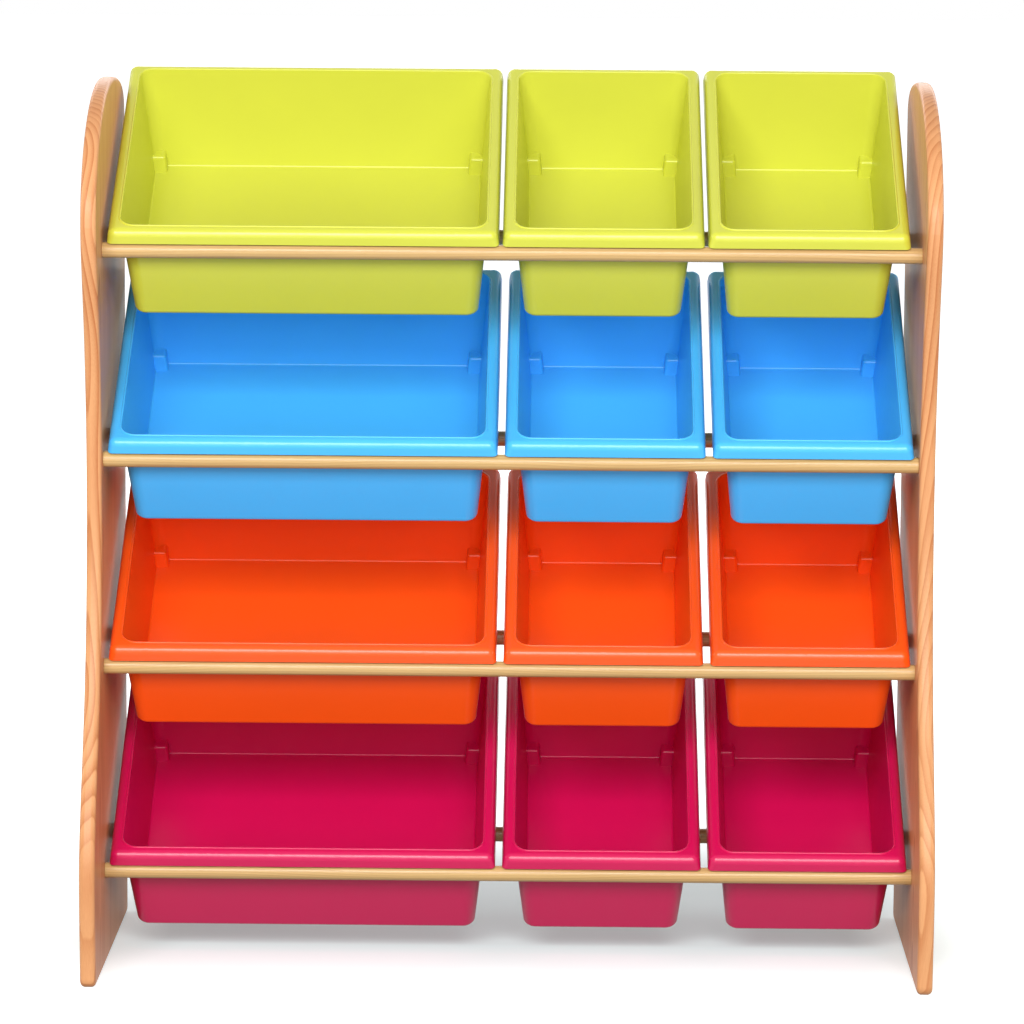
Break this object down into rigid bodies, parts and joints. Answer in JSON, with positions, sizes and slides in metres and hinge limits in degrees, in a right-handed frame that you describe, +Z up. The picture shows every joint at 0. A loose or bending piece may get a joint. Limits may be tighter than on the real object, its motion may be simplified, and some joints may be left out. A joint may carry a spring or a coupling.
{
  "type": "toy storage organizer with bins",
  "caption": "Free-standing toy organizer: waisted timber side panels joined by round rails that carry tilted, lift-out plastic bins, wide and narrow.",
  "frame": {"origin": "on the floor, midway between the side panels and at half of the overall depth", "axes": "+Z up, +X to the right as a person faces the front, front faces -Y"},
  "size_m": [0.86, 0.4122, 0.9123],
  "materials": {
    "panel_pine": "clear lacquered solid pine, straight grain up the panel, rounded arrises",
    "rail_beech": "clear lacquered hardwood dowel, glossy",
    "green_plastic": "moulded lime green polypropylene, semi-gloss",
    "blue_plastic": "moulded sky blue polypropylene, semi-gloss",
    "orange_plastic": "moulded orange polypropylene, semi-gloss",
    "pink_plastic": "moulded magenta pink polypropylene, semi-gloss",
    "bolt_steel": "zinc-plated steel",
    "insert_brass": "plain brass, hidden in the rail ends"
  },
  "bodies": {
    "frame": {"side_panel_left": "panel_pine", "side_panel_right": "panel_pine", "front_rail_bottom": "rail_beech", "back_rail_bottom": "rail_beech", "front_rail_third": "rail_beech", "back_rail_third": "rail_beech", "front_rail_second": "rail_beech", "back_rail_second": "rail_beech", "front_rail_top": "rail_beech", "back_rail_top": "rail_beech", "rail_bolts_left": "bolt_steel", "rail_bolts_right": "bolt_steel", "rail_inserts_left": "insert_brass", "rail_inserts_right": "insert_brass"},
    "bin_pink_large": {"bin_pink_large": "pink_plastic"},
    "bin_pink_middle": {"bin_pink_middle": "pink_plastic"},
    "bin_pink_right": {"bin_pink_right": "pink_plastic"},
    "bin_orange_large": {"bin_orange_large": "orange_plastic"},
    "bin_orange_middle": {"bin_orange_middle": "orange_plastic"},
    "bin_orange_right": {"bin_orange_right": "orange_plastic"},
    "bin_blue_large": {"bin_blue_large": "blue_plastic"},
    "bin_blue_middle": {"bin_blue_middle": "blue_plastic"},
    "bin_blue_right": {"bin_blue_right": "blue_plastic"},
    "bin_green_large": {"bin_green_large": "green_plastic"},
    "bin_green_middle": {"bin_green_middle": "green_plastic"},
    "bin_green_right": {"bin_green_right": "green_plastic"}
  },
  "joints": [
    {"name": "bin_pink_large_tip", "type": "hinge", "parent": "frame", "child": "bin_pink_large", "pos_m": [0, 0.10991, 0.099], "axis": [-1, 0, 0], "range_deg": [0, 29.8]},
    {"name": "bin_pink_middle_tip", "type": "hinge", "parent": "frame", "child": "bin_pink_middle", "pos_m": [0, 0.10991, 0.099], "axis": [-1, 0, 0], "range_deg": [0, 29.8]},
    {"name": "bin_pink_right_tip", "type": "hinge", "parent": "frame", "child": "bin_pink_right", "pos_m": [0, 0.10991, 0.099], "axis": [-1, 0, 0], "range_deg": [0, 29.8]},
    {"name": "bin_orange_large_tip", "type": "hinge", "parent": "frame", "child": "bin_orange_large", "pos_m": [0, 0.10991, 0.312], "axis": [-1, 0, 0], "range_deg": [0, 29.8]},
    {"name": "bin_orange_middle_tip", "type": "hinge", "parent": "frame", "child": "bin_orange_middle", "pos_m": [0, 0.10991, 0.312], "axis": [-1, 0, 0], "range_deg": [0, 29.8]},
    {"name": "bin_orange_right_tip", "type": "hinge", "parent": "frame", "child": "bin_orange_right", "pos_m": [0, 0.10991, 0.312], "axis": [-1, 0, 0], "range_deg": [0, 29.8]},
    {"name": "bin_blue_large_tip", "type": "hinge", "parent": "frame", "child": "bin_blue_large", "pos_m": [0, 0.10991, 0.525], "axis": [-1, 0, 0], "range_deg": [0, 29.8]},
    {"name": "bin_blue_middle_tip", "type": "hinge", "parent": "frame", "child": "bin_blue_middle", "pos_m": [0, 0.10991, 0.525], "axis": [-1, 0, 0], "range_deg": [0, 29.8]},
    {"name": "bin_blue_right_tip", "type": "hinge", "parent": "frame", "child": "bin_blue_right", "pos_m": [0, 0.10991, 0.525], "axis": [-1, 0, 0], "range_deg": [0, 29.8]},
    {"name": "bin_green_large_lift", "type": "slide", "parent": "frame", "child": "bin_green_large", "axis": [0, -0.4983, 0.867], "range_m": [0, 0.18]},
    {"name": "bin_green_middle_lift", "type": "slide", "parent": "frame", "child": "bin_green_middle", "axis": [0, -0.4983, 0.867], "range_m": [0, 0.18]},
    {"name": "bin_green_right_lift", "type": "slide", "parent": "frame", "child": "bin_green_right", "axis": [0, -0.4983, 0.867], "range_m": [0, 0.18]}
  ]
}
